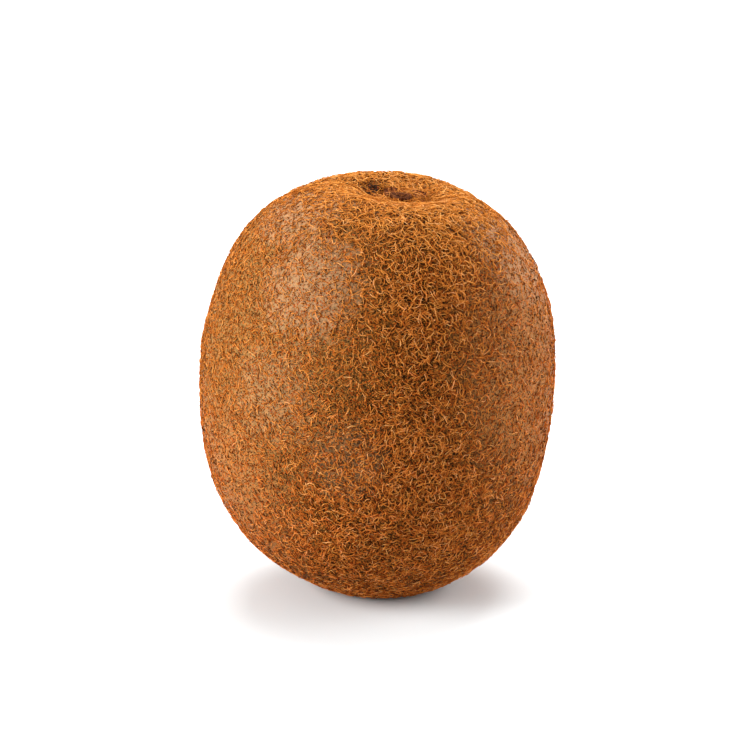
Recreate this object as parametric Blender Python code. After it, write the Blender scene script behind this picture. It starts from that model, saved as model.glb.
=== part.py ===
"""A whole kiwi fruit standing on its blossom end. Metres, +Z up, origin under its middle."""
import math

import bmesh
import bpy
from mathutils import Vector, noise

# Size of the fruit over everything.
FRUIT_WIDTH = 0.0550
FRUIT_DEPTH = 0.0532
FRUIT_HEIGHT = 0.0651

# How square the barrel is above and below its middle: 2 is an ellipse.
SHOULDER_FULLNESS = 2.46
BASE_FULLNESS = 2.32

# Mesh of the fruit: slices round it, rings from end to end, and how much the rings crowd at the ends.
FRUIT_SLICES = 96
FRUIT_RINGS = 59
RING_CROWDING = 0.22

# Slow swells of the skin, and the finer unevenness of its fuzz.
SWELL_HEIGHT = 0.00040
SWELL_PITCH = 0.0150
FUZZ_HEIGHT = 0.00032
FUZZ_PITCH = 0.0021

# The body bulges a little to either side: how far, at what height, and over how much of it, the
# last two as shares of the half height counted from the middle.
BULGES = (
    (0.00040, 0.45, 0.35),
    (-0.00022, -0.35, 0.30),
)

# The foot stands a little off the axis, from this share of the half height down, over that much.
FOOT_OFFSET = 0.00060
FOOT_OFFSET_START = 0.45
FOOT_OFFSET_SPREAD = 0.45

# The dip at the stem end, its even floor as a share of it, and how far the skin is drawn to it.
DIP_CENTRE_X = 0.0036
DIP_CENTRE_Y = -0.0014
DIP_DEPTH = 0.0027
DIP_HALF_WIDTH = 0.0106
DIP_HALF_DEPTH = 0.0090
DIP_FLOOR_SHARE = 0.30
DIP_PULL = 0.75
DIP_SMOOTH_SHARE = 0.8

# Creases that run down into the dip, from its floor to past its lip.
CREASE_HEIGHT = 0.00032
CREASE_TURNS = 2.4
CREASE_SEED = 4.7
CREASE_RISE = 2.5
CREASE_END = 0.9

# The foot at the blossom end, and the pit inside it.
FOOT_RADIUS = 0.0072
FOOT_BLEND = 0.0100
PIT_RADIUS = 0.0036
PIT_DEPTH = 0.0018

# Clear space kept between touching pieces.
GAP = 0.00038

# The woody button the stalk leaves behind.
BUTTON_RADIUS = 0.0019
BUTTON_HEIGHT = 0.0008
BUTTON_HOLE_RADIUS = 0.0008
BUTTON_HOLE_DEPTH = 0.00040
BUTTON_TAPER = 0.86
BUTTON_RING_SHARE = 0.30
BUTTON_FLOOR_SHARE = 0.50
BUTTON_ROUGHNESS = 0.00012
BUTTON_TEAR_PITCH = 0.00042
BUTTON_LUMP_PITCH = 0.00067
BUTTON_LUMP_SHARE = 3.0
BUTTON_LUMP_SEED = Vector((3.0, 1.0, 2.0))
BUTTON_SLICES = 32

# The dry sepals round the button.
SEPAL_COUNT = 5
SEPAL_INNER = 0.0025
SEPAL_OUTER = 0.0048
SEPAL_NOTCH = 0.0033
SEPAL_THICKNESS = 0.00035
SEPAL_CURL = 0.00025
SEPAL_RIPPLE = 0.00018
SEPAL_RIPPLE_PITCH = 0.0011
SEPAL_LOBE_POWER = 0.8
SEPAL_LENGTH = 0.74
SEPAL_LENGTH_SPREAD = 0.42
SEPAL_LENGTH_SEED = 1.7
SEPAL_RAGGED = 0.16
SEPAL_RAGGED_TURNS = 9.0
SEPAL_RAGGED_SEED = 1.3
SEPAL_COLUMNS = 110
SEPAL_ROWS = 6
SEPAL_WELD = 0.00001

# The dry styles in the pit: a knob, and threads drawn out of the band below its middle.
STYLE_KNOB_RADIUS = 0.00075
STYLE_KNOB_HEIGHT = 0.00045
STYLE_BAND_LOW = -0.85
STYLE_BAND_HIGH = -0.25
STYLE_EVERY = 3
STYLE_REACH = 0.00082
STYLE_DROP = 0.00042
STYLE_DROP_SHARES = (1.6, 1.0, 0.4)
STYLE_LENGTH = 0.65
STYLE_LENGTH_SPREAD = 0.35
STYLE_LENGTH_SEED = 1.3
STYLE_THINNING = 0.72

# Lengths below this count as nothing.
TINY = 1e-6

COLOURS = {
    "fruit": (0.285, 0.128, 0.040, 1.0),
    "pedicel_scar": (0.085, 0.040, 0.020, 1.0),
    "dried_sepals": (0.130, 0.058, 0.032, 1.0),
    "dried_styles": (0.060, 0.030, 0.016, 1.0),
}
ROUGHNESSES = {
    "fruit": 0.78,
    "pedicel_scar": 0.85,
    "dried_sepals": 0.80,
    "dried_styles": 0.85,
}


def clear_scene():
    for existing in list(bpy.data.objects):
        bpy.data.objects.remove(existing, do_unlink=True)


def ease(share):
    """0 to 1 with level ends."""
    share = min(max(share, 0.0), 1.0)
    return share * share * (3.0 - 2.0 * share)


def noise_at(x, y, z):
    return noise.noise(Vector((x, y, z)))


def material_for(name):
    material = bpy.data.materials.new(name)
    material.use_nodes = True
    shader = material.node_tree.nodes["Principled BSDF"]
    shader.inputs["Base Color"].default_value = COLOURS[name]
    shader.inputs["Roughness"].default_value = ROUGHNESSES[name]
    shader.inputs["Metallic"].default_value = 0.0
    return material


def add_part(name, mesh_data, collection):
    bmesh.ops.recalc_face_normals(mesh_data, faces=mesh_data.faces)
    mesh = bpy.data.meshes.new(name)
    mesh_data.to_mesh(mesh)
    mesh_data.free()
    for face in mesh.polygons:
        face.use_smooth = True
    part = bpy.data.objects.new(name, mesh)
    part.data.materials.append(material_for(name))
    collection.objects.link(part)
    return part


def side_reach(across, fullness):
    """Height of the barrel above or below its middle, where across runs from 0 at the axis to 1."""
    across = min(across, 1.0)
    return (FRUIT_HEIGHT / 2) * (1.0 - across**fullness) ** (1.0 / fullness)


def across_share(x, y):
    return math.hypot(x / (FRUIT_WIDTH / 2), y / (FRUIT_DEPTH / 2))


def crown_height(x, y):
    """Height of the skin at the stem end: dome, dip and the creases that run into the dip."""
    dome = FRUIT_HEIGHT / 2 + side_reach(across_share(x, y), SHOULDER_FULLNESS)
    from_dip_x = (x - DIP_CENTRE_X) / DIP_HALF_WIDTH
    from_dip_y = (y - DIP_CENTRE_Y) / DIP_HALF_DEPTH
    share = math.hypot(from_dip_x, from_dip_y)
    dip = DIP_DEPTH * (1.0 - ease((share - DIP_FLOOR_SHARE) / (1.0 - DIP_FLOOR_SHARE)))
    bearing = math.atan2(from_dip_y, from_dip_x)
    folds = noise_at(math.cos(bearing) * CREASE_TURNS, math.sin(bearing) * CREASE_TURNS, CREASE_SEED)
    fold_band = ease((share - DIP_FLOOR_SHARE) * CREASE_RISE) * (1.0 - ease(share - CREASE_END))
    return dome - dip + CREASE_HEIGHT * folds * fold_band


def foot_height(x, y):
    """Height of the skin at the blossom end: dome, flat foot and the pit in the middle of it."""
    radius = math.hypot(x, y)
    dome = FRUIT_HEIGHT / 2 - side_reach(across_share(x, y), BASE_FULLNESS)
    cut = FRUIT_HEIGHT / 2 - side_reach(FOOT_RADIUS / (FRUIT_WIDTH / 2), BASE_FULLNESS)
    if radius > FOOT_RADIUS:
        settled = 1.0 - ease((radius - FOOT_RADIUS) / FOOT_BLEND)
        return max(dome - cut * settled, 0.0)
    return PIT_DEPTH * (1.0 - ease(radius / PIT_RADIUS))


def lean_at(height_share):
    """Sideways offset of the axis. height_share runs from -1 at the foot to 1 at the crown."""
    offset = FOOT_OFFSET * ease((-height_share - FOOT_OFFSET_START) / FOOT_OFFSET_SPREAD)
    for reach, centre, spread in BULGES:
        offset += reach * math.exp(-(((height_share - centre) / spread) ** 2))
    return offset


def unevenness(point, outward):
    """Swells and fuzz, fading out round the dip and the foot, whose shapes are kept exact."""
    swell = noise.noise(point / SWELL_PITCH) * SWELL_HEIGHT
    fuzz = noise.noise(point / FUZZ_PITCH) * FUZZ_HEIGHT
    radius = math.hypot(point.x, point.y)
    from_dip = math.hypot(point.x - DIP_CENTRE_X, point.y - DIP_CENTRE_Y)
    if outward.z > 0.0:
        clear = ease(from_dip / DIP_HALF_WIDTH - DIP_SMOOTH_SHARE)
    else:
        clear = ease((radius - FOOT_RADIUS) / FOOT_BLEND)
    return (swell + fuzz) * clear


def fruit_point(direction):
    """Where the skin lies for a direction on a unit ball, whose rings crowd towards its two ends."""
    even = math.acos(min(max(direction.z, -1.0), 1.0)) / math.pi
    tilt = math.pi * even - RING_CROWDING * math.sin(2.0 * math.pi * even)
    bearing = math.atan2(direction.y, direction.x)
    upper = tilt < math.pi / 2
    fullness = SHOULDER_FULLNESS if upper else BASE_FULLNESS
    across = abs(math.sin(tilt)) ** (2.0 / fullness)
    x = across * math.cos(bearing) * FRUIT_WIDTH / 2
    y = across * math.sin(bearing) * FRUIT_DEPTH / 2
    if upper:
        towards_dip = 1.0 - ease(across / DIP_PULL)
        x += DIP_CENTRE_X * towards_dip
        y += DIP_CENTRE_Y * towards_dip
        z = crown_height(x, y)
    else:
        z = foot_height(x, y)
    point = Vector((x, y, z))
    middle = Vector((0.0, 0.0, FRUIT_HEIGHT / 2))
    outward = point - middle
    outward = Vector((
        outward.x / FRUIT_WIDTH**2,
        outward.y / FRUIT_DEPTH**2,
        outward.z / FRUIT_HEIGHT**2,
    )).normalized()
    point += outward * unevenness(point, outward)
    point.x += lean_at((point.z - FRUIT_HEIGHT / 2) / (FRUIT_HEIGHT / 2))
    return point


def build_fruit(collection):
    mesh_data = bmesh.new()
    bmesh.ops.create_uvsphere(
        mesh_data, u_segments=FRUIT_SLICES, v_segments=FRUIT_RINGS, radius=1.0
    )
    for vertex in mesh_data.verts:
        vertex.co = fruit_point(vertex.co.normalized())
    return add_part("fruit", mesh_data, collection)


def build_button(collection):
    """A squat woody disc with a torn rim and a pith hole, lying just over the floor of the dip."""
    mesh_data = bmesh.new()
    made = bmesh.ops.create_cone(
        mesh_data, cap_ends=True, cap_tris=False, segments=BUTTON_SLICES,
        radius1=BUTTON_RADIUS, radius2=BUTTON_RADIUS * BUTTON_TAPER, depth=BUTTON_HEIGHT,
    )
    bmesh.ops.translate(mesh_data, verts=made["verts"], vec=(0.0, 0.0, BUTTON_HEIGHT / 2))
    top = max(mesh_data.faces, key=lambda face: face.calc_center_median().z)
    floor = min(mesh_data.faces, key=lambda face: face.calc_center_median().z)
    for face, share in (
        (top, BUTTON_RING_SHARE), (top, BUTTON_RING_SHARE), (floor, BUTTON_FLOOR_SHARE)
    ):
        bmesh.ops.inset_region(mesh_data, faces=[face], thickness=BUTTON_RADIUS * share, depth=0.0)
    sides = [edge for edge in mesh_data.edges if abs(edge.verts[0].co.z - edge.verts[1].co.z) > TINY]
    bmesh.ops.subdivide_edges(mesh_data, edges=sides, cuts=2, use_grid_fill=True)
    for vertex in mesh_data.verts:
        spot = vertex.co.copy()
        radius = math.hypot(spot.x, spot.y)
        lift = spot.z / BUTTON_HEIGHT
        torn = noise.noise(spot / BUTTON_TEAR_PITCH) * BUTTON_ROUGHNESS
        lump = noise.noise(spot / BUTTON_LUMP_PITCH + BUTTON_LUMP_SEED) * BUTTON_ROUGHNESS
        if radius > TINY:
            vertex.co.x += spot.x / radius * torn
            vertex.co.y += spot.y / radius * torn
        vertex.co.z += BUTTON_LUMP_SHARE * lift * lump
        if lift > 0.5 and radius < BUTTON_HOLE_RADIUS:
            vertex.co.z -= BUTTON_HOLE_DEPTH
        vertex.co.x += DIP_CENTRE_X
        vertex.co.y += DIP_CENTRE_Y
        vertex.co.z += crown_height(vertex.co.x, vertex.co.y) + GAP
    return add_part("pedicel_scar", mesh_data, collection)


def sepal_edge(bearing):
    """How far the calyx reaches at a bearing: five lobes, each broken off at a length of its own."""
    turn = bearing / (2.0 * math.pi) * SEPAL_COUNT
    lobe = abs(math.sin(math.pi * turn)) ** SEPAL_LOBE_POWER
    broken = SEPAL_LENGTH + SEPAL_LENGTH_SPREAD * noise_at(
        math.floor(turn) * SEPAL_LENGTH_SEED, SEPAL_LENGTH_SEED, 0.0
    )
    ragged = 1.0 + SEPAL_RAGGED * noise_at(
        math.cos(bearing) * SEPAL_RAGGED_TURNS, math.sin(bearing) * SEPAL_RAGGED_TURNS, SEPAL_RAGGED_SEED
    )
    reach = SEPAL_NOTCH + (SEPAL_OUTER - SEPAL_NOTCH) * lobe * min(broken, 1.0) * ragged
    return max(reach, SEPAL_NOTCH)


def build_sepals(collection):
    """A thin five-lobed sheet round the button that follows the dip and curls up at its tips."""
    mesh_data = bmesh.new()
    bmesh.ops.create_grid(
        mesh_data, x_segments=SEPAL_COLUMNS, y_segments=SEPAL_ROWS, size=0.5
    )
    for vertex in mesh_data.verts:
        bearing = (vertex.co.x + 0.5) * 2.0 * math.pi
        outwards = vertex.co.y + 0.5
        edge = sepal_edge(bearing % (2.0 * math.pi))
        radius = SEPAL_INNER + (edge - SEPAL_INNER) * outwards
        x = DIP_CENTRE_X + radius * math.cos(bearing)
        y = DIP_CENTRE_Y + radius * math.sin(bearing)
        past_notch = max(radius - SEPAL_NOTCH, 0.0) / (SEPAL_OUTER - SEPAL_NOTCH)
        curl = SEPAL_CURL * past_notch**2
        ripple = noise_at(x / SEPAL_RIPPLE_PITCH, y / SEPAL_RIPPLE_PITCH, SEPAL_RAGGED_SEED)
        ripple = abs(ripple) * SEPAL_RIPPLE * outwards
        vertex.co = Vector((x, y, crown_height(x, y) + GAP + curl + ripple))
    bmesh.ops.remove_doubles(mesh_data, verts=mesh_data.verts, dist=SEPAL_WELD)
    bmesh.ops.recalc_face_normals(mesh_data, faces=mesh_data.faces)
    if sum(face.normal.z for face in mesh_data.faces) < 0.0:
        bmesh.ops.reverse_faces(mesh_data, faces=mesh_data.faces)
    upper = bmesh.ops.extrude_face_region(mesh_data, geom=mesh_data.faces[:])
    raised = [item for item in upper["geom"] if isinstance(item, bmesh.types.BMVert)]
    bmesh.ops.translate(mesh_data, verts=raised, vec=(0.0, 0.0, SEPAL_THICKNESS))
    return add_part("dried_sepals", mesh_data, collection)


def build_styles(collection):
    """A knob in the pit with short dry threads drawn out of its sides and underside."""
    mesh_data = bmesh.new()
    bmesh.ops.create_icosphere(mesh_data, subdivisions=2, radius=1.0)
    knob_z = PIT_DEPTH - GAP - STYLE_KNOB_HEIGHT
    for vertex in mesh_data.verts:
        vertex.co.x *= STYLE_KNOB_RADIUS
        vertex.co.y *= STYLE_KNOB_RADIUS
        vertex.co.z = vertex.co.z * STYLE_KNOB_HEIGHT + knob_z
    mesh_data.normal_update()
    outer = [
        face for face in mesh_data.faces if STYLE_BAND_LOW < face.normal.z < STYLE_BAND_HIGH
    ]
    outer.sort(key=lambda face: math.atan2(face.normal.y, face.normal.x))
    for number, face in enumerate(outer[::STYLE_EVERY]):
        centre = face.calc_center_median()
        away = Vector((centre.x, centre.y, 0.0)).normalized()
        uneven = noise_at(number * STYLE_LENGTH_SEED, STYLE_LENGTH_SEED, 0.0)
        length = (STYLE_LENGTH + STYLE_LENGTH_SPREAD * uneven) / len(STYLE_DROP_SHARES)
        tip = face
        for drop_share in STYLE_DROP_SHARES:
            drawn = bmesh.ops.extrude_discrete_faces(mesh_data, faces=[tip])
            tip = drawn["faces"][0]
            droop = Vector((0.0, 0.0, -STYLE_DROP * length * drop_share))
            bmesh.ops.translate(mesh_data, verts=tip.verts, vec=away * STYLE_REACH * length + droop)
            middle = tip.calc_center_median()
            for vertex in tip.verts:
                vertex.co = middle + (vertex.co - middle) * STYLE_THINNING
    return add_part("dried_styles", mesh_data, collection)


def centre_over_origin(parts):
    """Moves every part sideways by the same amount, so that the fruit's box stands over the origin."""
    corners = [vertex.co for vertex in parts[0].data.vertices]
    shift_x = -(min(co.x for co in corners) + max(co.x for co in corners)) / 2
    shift_y = -(min(co.y for co in corners) + max(co.y for co in corners)) / 2
    for part in parts:
        for vertex in part.data.vertices:
            vertex.co.x += shift_x
            vertex.co.y += shift_y


clear_scene()
kiwi_fruit = bpy.data.collections.new("kiwi_fruit")
bpy.context.scene.collection.children.link(kiwi_fruit)
centre_over_origin([
    build_fruit(kiwi_fruit),
    build_button(kiwi_fruit),
    build_sepals(kiwi_fruit),
    build_styles(kiwi_fruit),
])
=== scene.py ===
import math

import bmesh
import bpy
import numpy as np
from mathutils import Matrix, Vector, noise
from mathutils.bvhtree import BVHTree


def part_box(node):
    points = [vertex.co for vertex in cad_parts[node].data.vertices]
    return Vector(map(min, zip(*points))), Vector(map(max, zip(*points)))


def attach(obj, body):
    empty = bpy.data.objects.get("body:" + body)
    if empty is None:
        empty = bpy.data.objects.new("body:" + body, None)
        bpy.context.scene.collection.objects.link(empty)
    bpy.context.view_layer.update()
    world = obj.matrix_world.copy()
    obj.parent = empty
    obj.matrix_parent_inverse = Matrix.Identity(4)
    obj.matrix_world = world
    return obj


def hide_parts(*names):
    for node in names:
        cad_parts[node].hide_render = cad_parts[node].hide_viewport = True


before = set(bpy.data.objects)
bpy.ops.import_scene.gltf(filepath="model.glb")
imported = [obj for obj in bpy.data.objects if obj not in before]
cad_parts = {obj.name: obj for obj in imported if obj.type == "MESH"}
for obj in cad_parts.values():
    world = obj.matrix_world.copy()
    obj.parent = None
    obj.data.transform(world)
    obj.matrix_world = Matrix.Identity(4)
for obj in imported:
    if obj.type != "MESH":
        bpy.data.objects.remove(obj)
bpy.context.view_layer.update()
lowCorner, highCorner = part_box("fruit")
middle = (lowCorner + highCorner) / 2
scarLow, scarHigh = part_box("pedicel_scar")
crownSpot = Vector(((scarLow.x + scarHigh.x) / 2, (scarLow.y + scarHigh.y) / 2, scarLow.z))
mm = 0.001                       # the frame is in metres, the sizes of the coat in millimetres
mixA, mixB, mixOut = 6, 7, 2     # a Mix node's color sockets


# Small helpers that every piece uses

def linearColor(hexText):
    channels = [int(hexText[i:i + 2], 16) / 255 for i in (0, 2, 4)]
    linear = [c / 12.92 if c <= 0.04045 else ((c + 0.055) / 1.055) ** 2.4 for c in channels]
    return (*linear, 1.0)


def newMaterial(name):
    material = bpy.data.materials.new(name)
    material.use_nodes = True
    return material, material.node_tree, material.node_tree.nodes["Principled BSDF"]


def addNode(tree, kind, settings=None, links=None):
    # settings: property names, or input names and numbers; links: input -> output socket it takes
    node = tree.nodes.new(kind)
    for key, value in (settings or {}).items():
        if isinstance(key, str) and hasattr(node, key):
            setattr(node, key, value)
        else:
            node.inputs[key].default_value = value
    for key, source in (links or {}).items():
        tree.links.new(source, node.inputs[key])
    return node


def setRamp(node, places, hexColors):
    ramp = node.color_ramp
    while len(ramp.elements) < len(places):
        ramp.elements.new(0.5)
    for element, place, hexText in zip(ramp.elements, places, hexColors):
        element.position = place
        element.color = linearColor(hexText)


def ease(share):
    share = min(max(share, 0.0), 1.0)
    return share * share * (3 - 2 * share)


def mergedCopy(nodeName):
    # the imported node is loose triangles: weld a copy and pair its triangles into quads
    weldGap = 0.002 * mm
    pairAngle = math.radians(50)
    bm = bmesh.new()
    bm.from_mesh(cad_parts[nodeName].data)
    bmesh.ops.remove_doubles(bm, verts=bm.verts, dist=weldGap)
    bmesh.ops.join_triangles(bm, faces=bm.faces, angle_face_threshold=pairAngle,
                             angle_shape_threshold=pairAngle)
    bmesh.ops.recalc_face_normals(bm, faces=bm.faces)
    return bm


def linkedObject(name, data):
    thing = bpy.data.objects.new(name, data)
    bpy.context.scene.collection.objects.link(thing)
    return thing


def settledMesh(holder, name):
    # the holder's shape with its modifier or bevel worked out, as a plain mesh; the holder goes
    graph = bpy.context.evaluated_depsgraph_get()
    mesh = bpy.data.meshes.new_from_object(holder.evaluated_get(graph))
    mesh.name = name
    bpy.data.objects.remove(holder)
    return mesh


def roundedMesh(bm, name):
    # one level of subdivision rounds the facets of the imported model
    cage = bpy.data.meshes.new(name + "Cage")
    bm.to_mesh(cage)
    bm.free()
    holder = linkedObject(name + "Cage", cage)
    rounder = holder.modifiers.new("rounder", "SUBSURF")
    rounder.levels = rounder.render_levels = 1
    return settledMesh(holder, name)


def finishPiece(mesh, name, material, nodeName=None):
    mesh.materials.clear()
    mesh.materials.append(material)
    for face in mesh.polygons:
        face.use_smooth = True
    piece = linkedObject(name, mesh)
    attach(piece, "root")
    if nodeName:
        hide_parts(nodeName)
    return piece


# Where the coat differs: a golden side that is painted light where the left lamp falls, two pale stubbly
# sides, the right one also a painted sheen of the right lamp, spots that have rubbed bare whose pale colour
# is partly a painted highlight, two black hollows of painted shade beside the stalk and painted shade low at
# the front

coatLook = {
    # direction from the middle, degrees off it where the change starts and is full, strength
    # painted light: the side where the left lamp falls, paler and golden, with thinner hair
    "litSide": ((-0.85, -0.30, 0.43), 72, 12, 0.50),
    # pale sides with thinner, darker hair; the right one's pale colour is also a painted sheen of the right
    # lamp
    "dustAndSheen": [
        ((0.93, -0.25, 0.20), 57, 0, 0.66),
        ((-0.80, -0.35, -0.48), 41, 0, 0.50),
    ],
    # bare worn spots; their pale pinkish colour is partly a painted highlight where the lamps glint
    "rubbedAndGlint": [
        ((-0.33, -0.63, 0.70), 16.5, 2.5, 0.47),
        ((-0.35, -0.18, 0.92), 14, 2.5, 0.52),
        ((0.65, -0.12, 0.75), 21, 2.5, 0.52),
        ((-0.60, -0.77, 0.18), 17, 2.5, 0.20),
        ((-0.19, -0.97, -0.16), 15, 2.5, 0.12),
        ((0.50, 0.80, 0.20), 19, 2.5, 0.38),
    ],
    # painted shade: two nearly black pockets beside the stalk, dark because they lie in shade
    "shadedHollow": [
        ((0.00, 0.05, 1.00), 4.9, 3.0, 0.86),
        ((0.22, -0.04, 1.00), 3.9, 2.3, 0.80),
    ],
    # painted shade low at the front
    "paintedShade": ((0.06, -0.90, -0.43), 28, 8, 0.55),
    "frayReach": 0.12,           # how far a noise moves the rim of a rubbed spot, as a cosine
    "frayStart": 0.045,          # these two take the noise's mean off again
    "frayFull": 0.06,
    "bareBase": 0.20,            # how bare the coat is all over
    "barePatches": [(9, 0.7), (3, 0.35)],    # size in millimetres and strength of its thin places
    "bareRubbed": 0.85,          # how bare a rubbed spot is
}


def zoneOf(zone):
    # its direction, the cosines where it starts and is full, and its strength
    direction, *angles, strength = zone
    start, full = [math.cos(math.radians(angle)) for angle in angles]
    return Vector(direction).normalized(), start, full, strength


def shareTowards(spot, zone):
    direction, start, full, strength = zoneOf(zone)
    facing = (spot - middle).normalized().dot(direction)
    return ease((facing - start) / (full - start)) * strength


def shareOf(kind, spot):
    return max(shareTowards(spot, zone) for zone in coatLook[kind])


def bareness(spot):
    # 0 where the hair is thick, up to 1 where it has rubbed off
    patch = sum(noise.noise(spot / (size * mm)) * strength for size, strength in coatLook["barePatches"])
    rubbedAndGlint = sum(shareTowards(spot, zone) for zone in coatLook["rubbedAndGlint"])
    return min(max(coatLook["bareBase"] + patch + coatLook["bareRubbed"] * rubbedAndGlint, 0.0), 1.0)


# Skin: a dry, leathery russet rind with corky patches, felted over with down too fine to model

skinLook = {
    "deepColor": "1E1202",       # shaded olive brown
    "baseColor": "462A0A",
    "paleColor": "6E4A22",       # dry cork
    "feltShade": "1E0E02",        # painted shade in the gaps between the fibres of the down
    "feltLight": "9C5824",
    "litSideColor": "BC8B4E",      # golden side where the left lamp falls: painted light
    # pale sides, partly painted sheen
    "dustAndSheenColor": "B67C4A",
    "rubbedGlintColor": "BE946E",     # bare pinkish cork, partly a painted highlight where the lamps glint
    "gritColor": "AC6224",       # orange specks of broken hair
    "dotColor": "9A4210",        # rust dots where hairs have broken off
    # painted shadows of the hairs on the rind
    "pitColor": "1A0901",
    # painted shade in the hollows beside the stalk
    "hollowShadeColor": "0E0400",
    "noises": {
        # size in millimetres, detail, roughness, distortion; down and grit are really a tenth of a
        # millimetre and less, and are drawn coarser so that they show
        "patches": (7.0, 3.0, 0.55, 0.0),
        "mottle": (1.3, 5.0, 0.68, 0.0),
        "felt": (0.60, 3.0, 0.60, 2.2),
        "grit": (0.26, 1.0, 0.50, 0.6),
    },
    "cells": {"pits": 0.40, "dots": 0.50},   # spacing in millimetres; the specks are painted shadows of the hairs, the dots rust
    "masks": {
        # pattern, its value where the mask is full and where it ends; the felt's gaps, the grit's gaps and
        # the specks carry painted shade
        "feltGap": ("felt", 0.36, 0.50),
        "feltTip": ("felt", 0.68, 0.57),
        "gritSpeck": ("grit", 0.64, 0.54),
        "gritGap": ("grit", 0.34, 0.43),
        "pit": ("pits", 0.16, 0.32),
        "dot": ("dots", 0.20, 0.34),
    },
    "patchShare": 0.35,          # how much the broad patches count beside the mottle
    "brownPlaces": (0.50, 0.68, 0.86),
    "bumpStrength": 0.6,
    "bumpHeight": 0.12,          # millimetres
    "roughness": 0.50,
    "shine": 0.02,
    "smoothing": 0.25,
    "porePitch": 0.9,            # millimetres
    "poreHeight": 0.035,
    "poreStart": 0.3,            # millimetres over the floor where the pores begin
    "poreRun": 1.0,              # and how much further up they are full
}


def skinMaterial():
    # broad patches set the brown, felt and dots break it up, so the light spreads without a gloss
    material, tree, shader = newMaterial("russetKiwiRind")
    place = addNode(tree, "ShaderNodeTexCoord").outputs["Object"]
    patterns = {}
    for name, (size, detail, roughness, distortion) in skinLook["noises"].items():
        patterns[name] = addNode(tree, "ShaderNodeTexNoise", {
            "Scale": 1 / mm / size, "Detail": detail, "Roughness": roughness,
            "Distortion": distortion}, {"Vector": place}).outputs["Fac"]
    for name, spacing in skinLook["cells"].items():
        patterns[name] = addNode(tree, "ShaderNodeTexVoronoi", {
            "Scale": 1 / mm / spacing, "Randomness": 1.0}, {"Vector": place}).outputs["Distance"]
    masks = {}
    for name, (pattern, full, end) in skinLook["masks"].items():
        masks[name] = addNode(tree, "ShaderNodeMapRange", {
            "From Min": full, "From Max": end, "To Min": 1.0, "To Max": 0.0},
            {"Value": patterns[pattern]}).outputs[0]

    fromMiddle = addNode(tree, "ShaderNodeVectorMath", {"operation": "SUBTRACT", 1: middle}, {0: place})
    outward = addNode(tree, "ShaderNodeVectorMath", {"operation": "NORMALIZE"},
                      {0: fromMiddle.outputs["Vector"]}).outputs["Vector"]

    def towards(zone, ragged=None):
        # the same falloff as shareTowards, with its rim frayed by a noise when one is given
        direction, start, full, strength = zoneOf(zone)
        value = addNode(tree, "ShaderNodeVectorMath", {"operation": "DOT_PRODUCT", 1: direction},
                        {0: outward}).outputs["Value"]
        if ragged:
            value = addNode(tree, "ShaderNodeMath", {
                "operation": "MULTIPLY_ADD", 1: coatLook["frayReach"]},
                {0: ragged, 2: value}).outputs[0]
            start, full = start + coatLook["frayStart"], full + coatLook["frayFull"]
        return addNode(tree, "ShaderNodeMapRange", {
            "interpolation_type": "SMOOTHSTEP", "From Min": start, "From Max": full,
            "To Max": strength}, {"Value": value}).outputs[0]

    mixed = addNode(tree, "ShaderNodeMath", {"operation": "MULTIPLY_ADD", 1: skinLook["patchShare"]},
                    {0: patterns["patches"], 2: patterns["mottle"]})
    base = addNode(tree, "ShaderNodeValToRGB", links={"Fac": mixed.outputs[0]})
    setRamp(base, skinLook["brownPlaces"],
            [skinLook[name] for name in ("deepColor", "baseColor", "paleColor")])
    # each layer goes over those before it
    layers = [
        # painted shade in the gaps of the felt
        ("feltShade", masks["feltGap"]),
        # painted light where the left lamp falls
        ("litSideColor", towards(coatLook["litSide"])),
        # pale sides, the right one partly a painted sheen of the right lamp
        *[("dustAndSheenColor", towards(zone)) for zone in coatLook["dustAndSheen"]],
        # painted shade low at the front
        ("deepColor", towards(coatLook["paintedShade"])),
        ("feltLight", masks["feltTip"]),
        ("gritColor", masks["gritSpeck"]),
        # painted shade in the hollows beside the stalk
        *[("hollowShadeColor", towards(zone)) for zone in coatLook["shadedHollow"]],
        # painted shadows of the hairs in the grit's gaps and the specks
        ("pitColor", masks["gritGap"]),
        ("pitColor", masks["pit"]),
        # rubbed bare spots, partly painted highlights where the lamps glint
        *[("rubbedGlintColor", towards(zone, patterns["mottle"])) for zone in coatLook["rubbedAndGlint"]],
        ("dotColor", masks["dot"]),
    ]
    color = base.outputs["Color"]
    for name, mask in layers:
        color = addNode(tree, "ShaderNodeMix", {"data_type": "RGBA", mixB: linearColor(skinLook[name])},
                        {"Factor": mask, mixA: color}).outputs[mixOut]
    tree.links.new(color, shader.inputs["Base Color"])
    bump = addNode(tree, "ShaderNodeBump", {
        "Strength": skinLook["bumpStrength"], "Distance": skinLook["bumpHeight"] * mm},
        {"Height": patterns["felt"]})
    tree.links.new(bump.outputs["Normal"], shader.inputs["Normal"])
    shader.inputs["Roughness"].default_value = skinLook["roughness"]
    shader.inputs["Specular IOR Level"].default_value = skinLook["shine"]
    return material


def raisePores(mesh):
    # all spots and normals are read before any is moved; the foot stays flat
    spots = np.zeros(len(mesh.vertices) * 3)
    normals = np.zeros(len(mesh.vertices) * 3)
    mesh.vertices.foreach_get("co", spots)
    mesh.vertices.foreach_get("normal", normals)
    spots = spots.reshape(-1, 3)
    normals = normals.reshape(-1, 3)

    def rise(spot):
        aboveFoot = ease((spot.z - skinLook["poreStart"] * mm) / (skinLook["poreRun"] * mm))
        return skinLook["poreHeight"] * mm * noise.noise(spot / (skinLook["porePitch"] * mm)) * aboveFoot

    rises = np.array([rise(Vector(spot)) for spot in spots])
    mesh.vertices.foreach_set("co", (spots + normals * rises[:, None]).ravel())
    mesh.update()


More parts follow.
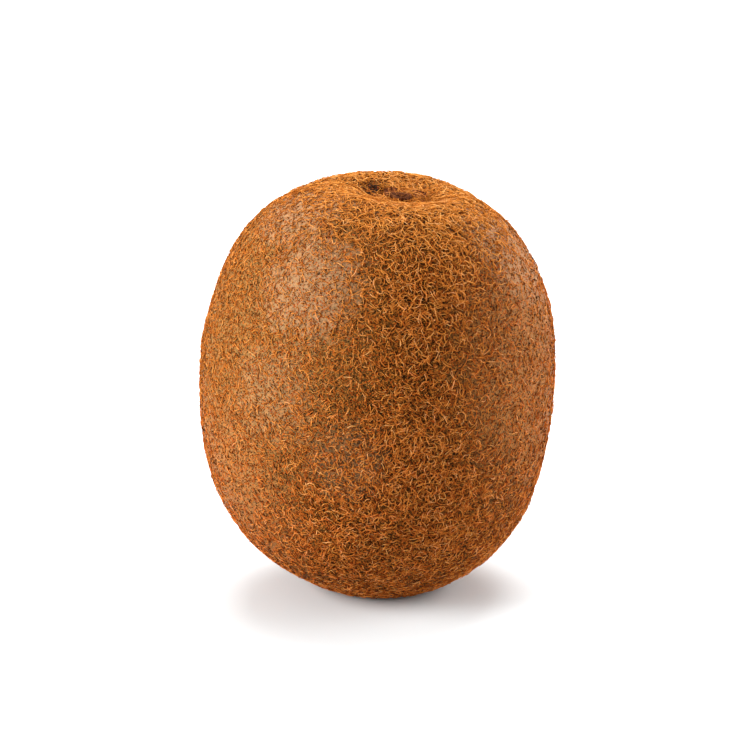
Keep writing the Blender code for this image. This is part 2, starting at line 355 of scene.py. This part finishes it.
def buildSkin():
    bm = mergedCopy("fruit")
    bmesh.ops.smooth_vert(bm, verts=bm.verts, factor=skinLook["smoothing"], use_axis_x=True,
                          use_axis_y=True, use_axis_z=True)
    mesh = roundedMesh(bm, "rind")
    piece = finishPiece(mesh, "rind", skinMaterial(), "fruit")
    raisePores(mesh)
    print("rind:", len(mesh.polygons), "faces")
    return piece


skin = buildSkin()


# Hairs: stiff dry bristles that lie over one another, modelled as three-sided tubes, a little
# thicker and fewer than real ones so that each one shows

hairLook = {
    # each kind: length, radius and lift in millimetres; curl of a whole hair and kink at each point in
    # radians; inward is how strongly it leans over the dip; the bare, lit side, pale side and hollow entries
    # are how far it thins out where it is bare, on the side of painted light, on the pale sides with painted
    # sheen and in the hollows of painted shade, and the pale side tone how much darker it is on the pale
    # sides; where drops is true, some of those that cross a hollow of painted shade are left out
    "long": {"count": 28200, "points": 5, "length": (0.9, 2.4), "radius": 0.066, "lift": (0.06, 0.32),
             "curl": 0.65, "kink": 0.50, "tone": (0.80, 0.21), "seed": 11, "pieces": 3, "inward": 0,
             "bare": 0.82, "litSide": 0.9, "dustAndSheen": 0.9, "shadedHollow": 1.0, "dustAndSheenTone": 0, "drops": True},
    "short": {"count": 56000, "points": 3, "length": (0.3, 0.9), "radius": 0.070, "lift": (0.03, 0.20),
              "curl": 0.8, "kink": 0.4, "tone": (0.38, 0.30), "seed": 23, "pieces": 3, "inward": 0,
              "bare": 0, "litSide": 0, "dustAndSheen": 0.7, "shadedHollow": 0.85, "dustAndSheenTone": 0.34, "drops": False},
    "crown": {"count": 2100, "points": 6, "length": (1.6, 3.2), "radius": 0.078, "lift": (0.08, 0.50),
              "curl": 0.75, "kink": 0.5, "tone": (0.78, 0.15), "seed": 37, "pieces": 1, "inward": 0,
              "shadedHollow": 1.0, "dustAndSheenTone": 0, "drops": True},
    "tuft": {"count": 1500, "points": 7, "length": (2.4, 5.2), "radius": 0.070, "lift": (0.1, 0.9),
             "curl": 1.4, "kink": 0.55, "tone": (0.72, 0.18), "seed": 53, "pieces": 1, "inward": 1.1,
             "shadedHollow": 1.0, "dustAndSheenTone": 0, "drops": False},
    "sides": 3,
    "radiusSpan": (0.75, 1.2),   # times the kind's radius
    "tipThinning": 0.55,
    "tipLift": (0.1, 1.0),       # share of the lift that the tip keeps
    "riseRate": 2.2,             # how soon a hair is fully up
    "rootDepth": 0.05,           # millimetres, as the next three
    "clearance": 0.03,
    "floorGap": 0.15,
    "lockSize": 8,
    "lockPull": 0.9,             # how strongly a lock lies up or down
    "swirl": 1.3,                # how strongly the crown's hair goes round
    "crownFlat": 6,              # millimetres from the stalk where the crown's hair starts to thin
    "crownFade": 15,             # and over how many it goes
    "tuftRing": (3.2, 7),        # millimetres from the stalk, as the next two
    "tuftRise": 0.8,
    "tuftFall": 2.5,
    "tuftShares": (0.07, 0.93),  # all round, and more at the near side and the right
    "tuftNear": 1.2,
    "tuftRight": 0.75,
    "crossLimit": 0.5,           # how deep in a hollow a hair has to be to be left out,
    "dropChance": 0.7,           # and how often that happens
    "crownTone": 0.12,
    # hairs that cross a hollow are darkened by this much: painted shade
    "hollowShadeTone": 0.42,
    "litSideTone": 0.58,           # what tones close up to on the side of painted light
    "litSidePull": 0.5,
    "warmth": (0.43, 0.18),      # mean and spread
    "crownWarmth": 0.40,
    "litSideWarmth": 0.15,
    "heightWarmth": 0.20,
    "dustAndSheenWarmth": 0.35,
    "warmthSpan": (0.02, 0.98),
    "rootShadeTone": 0.38,            # times the hair's tone, and the rest comes towards the tip: a darker root, partly the hair's own colour and partly painted shade
    "toneCurve": 0.8,
    "sideTones": (0, 0.003, 0.006),          # added to one side after another
    "sideWarmths": (0, 0.008, -0.008),
    "mapMargin": 0.01,
    "tonePlaces": (0.0, 0.22, 0.42, 0.62, 0.80, 1.0),
    "toneColors": ("341302", "76300A", "B25618", "D67E34", "E29C5A", "F2B680"),
    "rustTint": "A8451A",
    "goldTint": "E09E42",
    "tintShare": 0.40,
    "roughness": 0.70,
    "shine": 0.02,
}


def hairMaterial():
    # dry plant bristle: dull, dark rust at the root, partly its own colour and partly painted shade, and
    # pale gold at the thin tip, partly painted light; the map's first axis runs from dark to pale, its
    # second from rust to gold
    material, tree, shader = newMaterial("dryKiwiHair")
    spot = addNode(tree, "ShaderNodeUVMap", {"uv_map": "OFBake"})
    parts = addNode(tree, "ShaderNodeSeparateXYZ", links={"Vector": spot.outputs["UV"]})
    tone = addNode(tree, "ShaderNodeValToRGB", links={"Fac": parts.outputs["X"]})
    setRamp(tone, hairLook["tonePlaces"], hairLook["toneColors"])
    tint = addNode(tree, "ShaderNodeValToRGB", links={"Fac": parts.outputs["Y"]})
    setRamp(tint, (0.0, 1.0), (hairLook["rustTint"], hairLook["goldTint"]))
    mixed = addNode(tree, "ShaderNodeMix", {
        "data_type": "RGBA", "blend_type": "COLOR", 0: hairLook["tintShare"]},
        {mixA: tone.outputs["Color"], mixB: tint.outputs["Color"]})
    tree.links.new(mixed.outputs[mixOut], shader.inputs["Base Color"])
    shader.inputs["Roughness"].default_value = hairLook["roughness"]
    shader.inputs["Specular IOR Level"].default_value = hairLook["shine"]
    return material


def surfaceOf(*pieces):
    bm = bmesh.new()
    for piece in pieces:
        bm.from_mesh(piece.data)
    tree = BVHTree.FromBMesh(bm)
    bm.free()
    return tree


def crownShare(spot):
    # 1 at the dip, falling to 0 on the shoulders
    distance = math.hypot(spot.x - crownSpot.x, spot.y - crownSpot.y) / mm
    if spot.z < middle.z:
        return 0.0
    return 1 - ease((distance - hairLook["crownFlat"]) / hairLook["crownFade"])


def tuftShare(spot):
    # a ring on the wall of the dip, thickest on the near side, with some at the right
    aside = spot - crownSpot
    distance = math.hypot(aside.x, aside.y) / mm
    inner, outer = hairLook["tuftRing"]
    if spot.z < middle.z or not inner < distance < outer:
        return 0.0
    nearest = max(-hairLook["tuftNear"] * aside.y, hairLook["tuftRight"] * aside.x)
    allRound, extra = hairLook["tuftShares"]
    near = allRound + extra * ease(nearest / (distance * mm))
    return (ease((distance - inner) / hairLook["tuftRise"])
            * ease((outer - distance) / hairLook["tuftFall"]) * near)


def thickness(kind, spot):
    # how thickly hairs of this kind grow at a spot
    style = hairLook[kind]
    if kind == "crown":
        share = crownShare(spot)
    elif kind == "tuft":
        share = tuftShare(spot)
    else:
        share = ((1 - style["bare"] * bareness(spot))
                 * (1 - style["litSide"] * shareTowards(spot, coatLook["litSide"]))
                 * (1 - style["dustAndSheen"] * shareOf("dustAndSheen", spot)))
    return share * (1 - style["shadedHollow"] * shareOf("shadedHollow", spot))


def rootPlaces(piece, kind):
    # faces drawn by area and thickness of the coat, then a random spot inside each
    style = hairLook[kind]
    rng = np.random.RandomState(style["seed"] + 1)
    mesh = piece.data
    weights = np.array([face.area * thickness(kind, face.center) for face in mesh.polygons])
    chosen = np.searchsorted(np.cumsum(weights) / weights.sum(), rng.rand(style["count"]))
    places = []
    for index, (a, b) in zip(chosen, rng.rand(style["count"], 2)):
        corners = [mesh.vertices[i].co for i in mesh.polygons[int(index)].vertices]
        if len(corners) == 4:
            spot = corners[0].lerp(corners[1], a).lerp(corners[3].lerp(corners[2], a), b)
        else:
            a, b = (a, b) if a + b < 1 else (1 - a, 1 - b)
            spot = corners[0] + (corners[1] - corners[0]) * a + (corners[2] - corners[0]) * b
        places.append(spot)
    return places


def growStrand(surface, spot, style, rng):
    spot, normal, _, _ = surface.find_nearest(spot)
    aside = normal.orthogonal().normalized()
    heading = Matrix.Rotation(rng.uniform(0, 2 * math.pi), 3, normal) @ aside
    if style["inward"]:
        # these lean in over the dip
        flow = (crownSpot - spot).normalized()
        comb = style["inward"]
    else:
        # down or up in locks, and round the fruit near the stalk end
        flow = Vector((0.0, 0.0, -1.0)) - normal * -normal.z
        comb = noise.noise(spot / (hairLook["lockSize"] * mm)) * hairLook["lockPull"]
        heading += Vector((0.0, 0.0, 1.0)).cross(normal) * hairLook["swirl"] * crownShare(spot)
    heading = (heading + flow * comb).normalized()
    steps = style["points"] - 1
    length = rng.uniform(*style["length"]) * mm
    lift = rng.uniform(*style["lift"]) * mm
    curl = rng.normal(0, style["curl"]) / steps
    tipLift = rng.uniform(*hairLook["tipLift"])
    path = [spot - normal * hairLook["rootDepth"] * mm]
    for step in range(1, steps + 1):
        share = step / steps
        turn = curl + rng.normal(0, style["kink"])
        heading = Matrix.Rotation(turn, 3, normal) @ heading
        spot, normal, _, _ = surface.find_nearest(spot + heading * length / steps)
        heading = (heading - normal * heading.dot(normal)).normalized()
        standing = math.sin(math.pi / 2 * min(share * hairLook["riseRate"], 1.0))
        rise = standing * (1 - share) + tipLift * share
        path.append(spot + normal * (lift * rise + hairLook["clearance"] * mm))
    return path


def growCoat(kind, surface):
    # each hair is its path, its radius, and its tone and warmth on the color map
    style = hairLook[kind]
    rng = np.random.RandomState(style["seed"])
    hairs = []
    for place in rootPlaces(skin, kind):
        crown = crownShare(place)
        path = growStrand(surface, place, style, rng)
        if min(p.z for p in path) < hairLook["floorGap"] * mm:
            continue
        crossing = max(shareOf("shadedHollow", p) for p in path)
        if style["drops"] and crossing > hairLook["crossLimit"] and rng.rand() < hairLook["dropChance"]:
            continue
        radius = style["radius"] * mm * rng.uniform(*hairLook["radiusSpan"])
        litSide = shareTowards(place, coatLook["litSide"])
        dustAndSheen = shareOf("dustAndSheen", place)
        # hairs that cross a hollow are darker: painted shade
        tone = rng.normal(*style["tone"]) + hairLook["crownTone"] * crown - hairLook["hollowShadeTone"] * crossing
        # on the side of painted light the tones close up
        tone += (hairLook["litSideTone"] - tone) * hairLook["litSidePull"] * litSide
        tone -= style["dustAndSheenTone"] * dustAndSheen
        warmth = rng.normal(*hairLook["warmth"])
        warmth = warmth + hairLook["crownWarmth"] * crown + hairLook["litSideWarmth"] * litSide
        height = hairLook["heightWarmth"] * (place.z - middle.z) / middle.z
        warmth += height - hairLook["dustAndSheenWarmth"] * dustAndSheen
        lowest, highest = hairLook["warmthSpan"]
        hairs.append((path, radius, tone, min(max(warmth, lowest), highest)))
    return hairs


def strandMesh(name, hairs, count):
    # one curve holds all hairs of the piece; a three-cornered profile gives them their sides
    sides = hairLook["sides"]
    profileCurve = bpy.data.curves.new("hairSection", "CURVE")
    ring = profileCurve.splines.new("POLY")
    ring.points.add(sides - 1)
    for number, point in enumerate(ring.points):
        turn = 2 * math.pi * number / sides
        point.co = (math.cos(turn), math.sin(turn), 0, 1)
    ring.use_cyclic_u = True
    profile = linkedObject("hairSection", profileCurve)
    curve = bpy.data.curves.new(name, "CURVE")
    curve.dimensions = "3D"
    curve.bevel_mode = "OBJECT"
    curve.bevel_object = profile
    # no width at the sunk root or at the tip, so both ends close to a point
    waist = [1.0 - hairLook["tipThinning"] * i / (count - 2) for i in range(count - 2)]
    taper = [0.0] + waist + [0.0]
    for path, radius, _, _ in hairs:
        spline = curve.splines.new("POLY")
        spline.points.add(count - 1)
        spline.points.foreach_set("co", [c for p in path for c in (p.x, p.y, p.z, 1.0)])
        spline.points.foreach_set("radius", [radius * t for t in taper])
    mesh = settledMesh(linkedObject(name + "Curve", curve), name)
    bpy.data.objects.remove(profile)
    return mesh


def paintStrands(mesh, hairs, count):
    # every hair gets a spot on the color map, a little wide so that each face covers some of it
    sides = hairLook["sides"]
    tones = np.array([hair[2] for hair in hairs])
    warmths = np.array([hair[3] for hair in hairs])
    root, margin = hairLook["rootShadeTone"], hairLook["mapMargin"]
    # the tone darkens towards the root, partly painted shade
    shadeAlongHair = root + (1 - root) * np.linspace(0, 1, count) ** hairLook["toneCurve"]
    tone = tones[:, None] * shadeAlongHair[None, :]
    tone = np.repeat(tone[:, :, None], sides, axis=2) + np.array(hairLook["sideTones"])
    warmth = np.repeat(np.repeat(warmths[:, None], count, axis=1)[:, :, None], sides, axis=2)
    warmth = warmth + np.array(hairLook["sideWarmths"])
    spots = np.stack([tone.ravel(), warmth.ravel()], axis=1).clip(margin, 1 - margin)
    assert len(spots) == len(mesh.vertices), (len(spots), len(mesh.vertices))
    for layer in list(mesh.uv_layers):
        mesh.uv_layers.remove(layer)
    corners = np.zeros(len(mesh.loops), int)
    mesh.loops.foreach_get("vertex_index", corners)
    layer = mesh.uv_layers.new(name="OFBake")
    layer.data.foreach_set("uv", spots[corners].astype(np.float32).ravel())


def closeEnds(mesh):
    # the rings without width at root and tip become single points
    tinyGap = 0.0001 * mm
    bm = bmesh.new()
    bm.from_mesh(mesh)
    bmesh.ops.remove_doubles(bm, verts=bm.verts, dist=tinyGap)
    bmesh.ops.recalc_face_normals(bm, faces=bm.faces)
    bm.to_mesh(mesh)
    bm.free()


def buildHairs(kind, surface, material):
    style = hairLook[kind]
    hairs = growCoat(kind, surface)
    size = math.ceil(len(hairs) / style["pieces"])
    for number in range(style["pieces"]):
        handful = hairs[number * size:(number + 1) * size]
        name = f"{kind}Hair{number + 1}"
        mesh = strandMesh(name, handful, style["points"])
        paintStrands(mesh, handful, style["points"])
        closeEnds(mesh)
        finishPiece(mesh, name, material)
    print(f"{kind} hairs:", len(hairs))


hairCoat = hairMaterial()
skinSurface = surfaceOf(skin)
for kindOfHair in ("long", "short", "crown"):
    buildHairs(kindOfHair, skinSurface, hairCoat)
dipSurface = surfaceOf(skin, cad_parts["pedicel_scar"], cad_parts["dried_sepals"])
buildHairs("tuft", dipSurface, hairCoat)


# Dry remains in the dip and at the bottom: bark-like stalk button, papery sepals, black styles

drynessLook = {
    # colors from where the grain sinks to where it rises; grain and crumple in millimetres
    "scar": {"dark": "220B02", "mid": "4E240A", "pale": "8E5424", "grain": 0.35, "crumple": 0.10},
    "sepal": {"dark": "1C0801", "mid": "6A320E", "pale": "C88044", "grain": 0.4, "crumple": 0.30},
    "style": {"dark": "140902", "mid": "33200F", "pale": "5E4020", "grain": 0.3, "crumple": 0.04},
    "colorPlaces": (0.36, 0.52, 0.70),
    "grainDetail": 4.0,
    "grainRoughness": 0.65,
    "bumpStrength": 0.6,
    "bumpHeight": 0.1,           # millimetres
    "crumplePitch": 0.8,
    "crumpleSeed": 5,
    "roughness": 0.8,
    "shine": 0.05,
}


def dryMaterial(name, look):
    # dead, shrunken plant tissue: darker where the grain and its bump sink, paler where they rise, and
    # nothing shines
    material, tree, shader = newMaterial(name)
    place = addNode(tree, "ShaderNodeTexCoord").outputs["Object"]
    grain = addNode(tree, "ShaderNodeTexNoise", {
        "Scale": 1 / mm / look["grain"], "Detail": drynessLook["grainDetail"],
        "Roughness": drynessLook["grainRoughness"]}, {"Vector": place})
    color = addNode(tree, "ShaderNodeValToRGB", links={"Fac": grain.outputs["Fac"]})
    setRamp(color, drynessLook["colorPlaces"], [look[shade] for shade in ("dark", "mid", "pale")])
    tree.links.new(color.outputs["Color"], shader.inputs["Base Color"])
    bump = addNode(tree, "ShaderNodeBump", {
        "Strength": drynessLook["bumpStrength"], "Distance": drynessLook["bumpHeight"] * mm},
        {"Height": grain.outputs["Fac"]})
    tree.links.new(bump.outputs["Normal"], shader.inputs["Normal"])
    shader.inputs["Roughness"].default_value = drynessLook["roughness"]
    shader.inputs["Specular IOR Level"].default_value = drynessLook["shine"]
    return material


def buildDry(nodeName, pieceName, materialName, look):
    mesh = roundedMesh(mergedCopy(nodeName), pieceName)
    noise.seed_set(drynessLook["crumpleSeed"])     # unseeded, the creases would follow the clock
    for vertex in mesh.vertices:
        crease = noise.noise_vector(vertex.co / (drynessLook["crumplePitch"] * mm))
        vertex.co += crease * look["crumple"] * mm
    mesh.update()
    finishPiece(mesh, pieceName, dryMaterial(materialName, look), nodeName)
    print(pieceName + ":", len(mesh.polygons), "faces")


buildDry("pedicel_scar", "stalkButton", "dryStalkBark", drynessLook["scar"])
buildDry("dried_sepals", "drySepals", "paperySepal", drynessLook["sepal"])
buildDry("dried_styles", "dryStyles", "dryStyleTips", drynessLook["style"])


# Stage: pale floor, soft lights, camera

stageLook = {
    "floorColor": "EFF3F4",
    "floorSize": 4.0,            # metres from its middle to each side
    "floorSquares": 8,
    "floorRoughness": 0.9,
    "floorShine": 0.1,
    "worldColor": "FFFFFF",
    "worldStrength": 0.50,
    "cameraDistance": 0.75,      # metres
    "cameraHeightAngle": 17,
    "viewWidth": 0.1169,         # metres that the frame spans at the fruit
    "sensorWidth": 36,           # millimetres
    "nearestSeen": 0.01,         # metres
    "aimAside": -0.38,           # millimetres off the middle
    "aimRise": 1.65,             # millimetres over the middle
    "lights": {
        # bearing from the camera's side in degrees (left negative), height angle, distance and
        # size in metres, watts
        "leftBox": (-68, 22, 0.6, 0.36, 5.0),
        "rightBox": (104, 14, 0.6, 0.50, 4.0),
        "topBox": (172, 62, 0.7, 0.60, 7.2),
    },
}


def directionAt(bearing, rise):
    # from the fruit, at a bearing from the camera's side and a height angle, both in degrees
    a, e = math.radians(bearing), math.radians(rise)
    return Vector((math.sin(a) * math.cos(e), -math.cos(a) * math.cos(e), math.sin(e)))


def buildFloor():
    # plain matt board, so that the shadow stays soft and nothing mirrors in it
    squares = stageLook["floorSquares"]
    bm = bmesh.new()
    bmesh.ops.create_grid(bm, x_segments=squares, y_segments=squares, size=stageLook["floorSize"])
    mesh = bpy.data.meshes.new("paleFloor")
    bm.to_mesh(mesh)
    bm.free()
    material, _, shader = newMaterial("mattWhiteBoard")
    shader.inputs["Base Color"].default_value = linearColor(stageLook["floorColor"])
    shader.inputs["Roughness"].default_value = stageLook["floorRoughness"]
    shader.inputs["Specular IOR Level"].default_value = stageLook["floorShine"]
    mesh.materials.append(material)
    linkedObject("paleFloor", mesh)
    print("floor ready")


def buildLights():
    world = bpy.data.worlds.new("softRoom")
    bpy.context.scene.world = world
    world.use_nodes = True
    sky = world.node_tree.nodes["Background"]
    sky.inputs["Color"].default_value = linearColor(stageLook["worldColor"])
    sky.inputs["Strength"].default_value = stageLook["worldStrength"]
    for name, (bearing, rise, distance, size, watts) in stageLook["lights"].items():
        lamp = bpy.data.lights.new(name, "AREA")
        lamp.shape = "SQUARE"
        lamp.size = size
        lamp.energy = watts
        holder = linkedObject(name, lamp)
        away = directionAt(bearing, rise)
        holder.location = middle + away * distance
        holder.rotation_euler = (-away).to_track_quat("-Z", "Y").to_euler()
    print("lights:", len(stageLook["lights"]))


def buildCamera():
    lens = bpy.data.cameras.new("camera")
    lens.sensor_width = stageLook["sensorWidth"]
    lens.lens = stageLook["sensorWidth"] * stageLook["cameraDistance"] / stageLook["viewWidth"]
    lens.clip_start = stageLook["nearestSeen"]
    camera = linkedObject("camera", lens)
    away = directionAt(0, stageLook["cameraHeightAngle"])
    target = middle + Vector((stageLook["aimAside"], 0, stageLook["aimRise"])) * mm
    camera.location = target + away * stageLook["cameraDistance"]
    camera.rotation_euler = (-away).to_track_quat("-Z", "Y").to_euler()
    bpy.context.scene.camera = camera
    bpy.context.scene.view_settings.view_transform = "Standard"
    print("camera ready")


buildFloor()
buildLights()
buildCamera()
